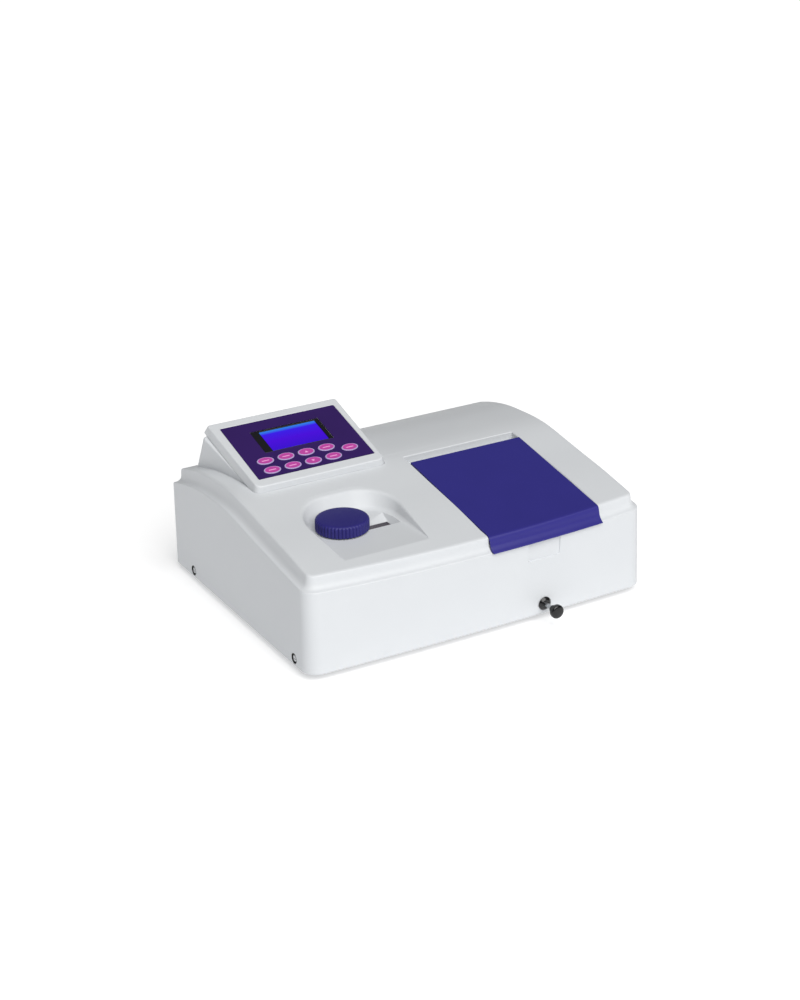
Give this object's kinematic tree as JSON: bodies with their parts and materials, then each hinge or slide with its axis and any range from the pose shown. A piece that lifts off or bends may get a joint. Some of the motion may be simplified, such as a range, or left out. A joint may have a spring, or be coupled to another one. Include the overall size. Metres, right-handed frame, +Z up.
{
  "type": "spectrophotometer",
  "caption": "Bench-top visible spectrophotometer: moulded cover, tilted keypad console, wavelength knob in a recess and a hinged lid over a sliding cuvette carriage.",
  "frame": {"origin": "middle of the footprint, on the surface the feet stand on", "axes": "+X along the front to the user's right, +Y to the back, +Z up"},
  "size_m": [0.42, 0.3684, 0.1838],
  "materials": {
    "cover_plastic": "fine moulded texture, semi-gloss",
    "console_plastic": "fine moulded texture, semi-gloss",
    "lid_plastic": "fine moulded texture, semi-gloss",
    "knob_plastic": "satin, ribbed rim",
    "keypad_film": "printed polyester film, satin",
    "key_film": "embossed printed film",
    "display_glass": "backlit display",
    "black_plastic": "satin",
    "foot_rubber": "matt",
    "black_steel": "blackened",
    "zinc_steel": "zinc plated",
    "plain_steel": "turned",
    "rear_aluminium": "anodised",
    "dial_aluminium": "anodised, engraved",
    "cast_housing": "black crackle paint",
    "tub_plastic": "matt",
    "optics_mirror": "front silvered",
    "clear_glass": "clear",
    "circuit_board": "solder mask",
    "transformer_iron": "varnished laminations and winding"
  },
  "bodies": {
    "root": {"base_tray": "zinc_steel", "collimating_mirror": "optics_mirror", "compartment_tub": "tub_plastic", "condenser_lens": "clear_glass", "console_bezel": "console_plastic", "cover_screw_1": "black_steel", "cover_screw_2": "black_steel", "cover_screw_3": "black_steel", "cover_screw_4": "black_steel", "data_port": "plain_steel", "detector_housing": "cast_housing", "entrance_slit": "plain_steel", "exit_slit": "plain_steel", "focusing_mirror": "optics_mirror", "foot_1": "foot_rubber", "foot_2": "foot_rubber", "foot_3": "foot_rubber", "foot_4": "foot_rubber", "fuse_holder": "black_plastic", "hinge_pin": "plain_steel", "keypad_board": "circuit_board", "keypad_overlay": "keypad_film", "lamp": "clear_glass", "lamp_house": "cast_housing", "lamp_socket": "zinc_steel", "lcd_frame": "black_plastic", "lcd_glass": "display_glass", "light_seal": "foot_rubber", "main_board": "circuit_board", "monochromator_cover": "cast_housing", "monochromator_housing": "cast_housing", "photodiode": "plain_steel", "power_inlet": "black_plastic", "rear_panel": "rear_aluminium", "rod_bush": "black_plastic", "scale_window": "clear_glass", "switch_frame": "black_plastic", "top_cover": "cover_plastic", "transformer": "transformer_iron"},
    "lid": {"compartment_lid": "lid_plastic"},
    "knob": {"wavelength_knob": "knob_plastic", "knob_shaft": "plain_steel"},
    "dial": {"wavelength_dial": "dial_aluminium", "wavelength_cam": "plain_steel"},
    "grating_mount": {"grating_arm": "plain_steel", "grating": "optics_mirror"},
    "carriage": {"cell_carriage": "black_plastic", "pull_rod": "plain_steel", "rod_knob": "black_plastic"},
    "rocker": {"power_switch": "black_plastic"},
    "key_1_cap": {"key_1": "key_film"},
    "key_2_cap": {"key_2": "key_film"},
    "key_3_cap": {"key_3": "key_film"},
    "key_4_cap": {"key_4": "key_film"},
    "key_5_cap": {"key_5": "key_film"},
    "key_6_cap": {"key_6": "key_film"},
    "key_7_cap": {"key_7": "key_film"},
    "key_8_cap": {"key_8": "key_film"},
    "key_9_cap": {"key_9": "key_film"}
  },
  "joints": [
    {"name": "lid_hinge", "type": "hinge", "parent": "root", "child": "lid", "pos_m": [0.079, 0.00725, 0.1372], "axis": [-1, 0, 0], "range_deg": [0, 75]},
    {"name": "knob_spin", "type": "hinge", "parent": "root", "child": "knob", "pos_m": [-0.118, -0.06125, 0.12], "axis": [0, 0, 1], "range_deg": [-720, 1440]},
    {"name": "dial_spin", "type": "hinge", "parent": "root", "child": "dial", "pos_m": [-0.072, -0.04575, 0.104], "axis": [0, 0, 1], "range_deg": [-180, 90]},
    {"name": "grating_turn", "type": "hinge", "parent": "root", "child": "grating_mount", "pos_m": [-0.1, -0.02475, 0.064], "axis": [0, 0, 1], "range_deg": [-8.75, 17.45]},
    {"name": "rod_slide", "type": "slide", "parent": "root", "child": "carriage", "axis": [0, -1, 0], "range_m": [0, 0.06]},
    {"name": "switch_rock", "type": "hinge", "parent": "root", "child": "rocker", "pos_m": [0.116, 0.17425, 0.048], "axis": [1, 0, 0], "range_deg": [0, 20]},
    {"name": "key_1_press", "type": "slide", "parent": "root", "child": "key_1_cap", "axis": [0, 0.2656, -0.9641], "range_m": [0, 0.0004], "stiffness_N_per_m": 700, "springref_m": -0.001},
    {"name": "key_2_press", "type": "slide", "parent": "root", "child": "key_2_cap", "axis": [0, 0.2656, -0.9641], "range_m": [0, 0.0004], "stiffness_N_per_m": 700, "springref_m": -0.001},
    {"name": "key_3_press", "type": "slide", "parent": "root", "child": "key_3_cap", "axis": [0, 0.2656, -0.9641], "range_m": [0, 0.0004], "stiffness_N_per_m": 700, "springref_m": -0.001},
    {"name": "key_4_press", "type": "slide", "parent": "root", "child": "key_4_cap", "axis": [0, 0.2656, -0.9641], "range_m": [0, 0.0004], "stiffness_N_per_m": 700, "springref_m": -0.001},
    {"name": "key_5_press", "type": "slide", "parent": "root", "child": "key_5_cap", "axis": [0, 0.2656, -0.9641], "range_m": [0, 0.0004], "stiffness_N_per_m": 700, "springref_m": -0.001},
    {"name": "key_6_press", "type": "slide", "parent": "root", "child": "key_6_cap", "axis": [0, 0.2656, -0.9641], "range_m": [0, 0.0004], "stiffness_N_per_m": 700, "springref_m": -0.001},
    {"name": "key_7_press", "type": "slide", "parent": "root", "child": "key_7_cap", "axis": [0, 0.2656, -0.9641], "range_m": [0, 0.0004], "stiffness_N_per_m": 700, "springref_m": -0.001},
    {"name": "key_8_press", "type": "slide", "parent": "root", "child": "key_8_cap", "axis": [0, 0.2656, -0.9641], "range_m": [0, 0.0004], "stiffness_N_per_m": 700, "springref_m": -0.001},
    {"name": "key_9_press", "type": "slide", "parent": "root", "child": "key_9_cap", "axis": [0, 0.2656, -0.9641], "range_m": [0, 0.0004], "stiffness_N_per_m": 700, "springref_m": -0.001}
  ],
  "couplings": [
    {"joint": "dial_spin", "follows": "knob_spin", "ratio": -0.125},
    {"joint": "grating_turn", "follows": "knob_spin", "ratio": 0.012087}
  ]
}
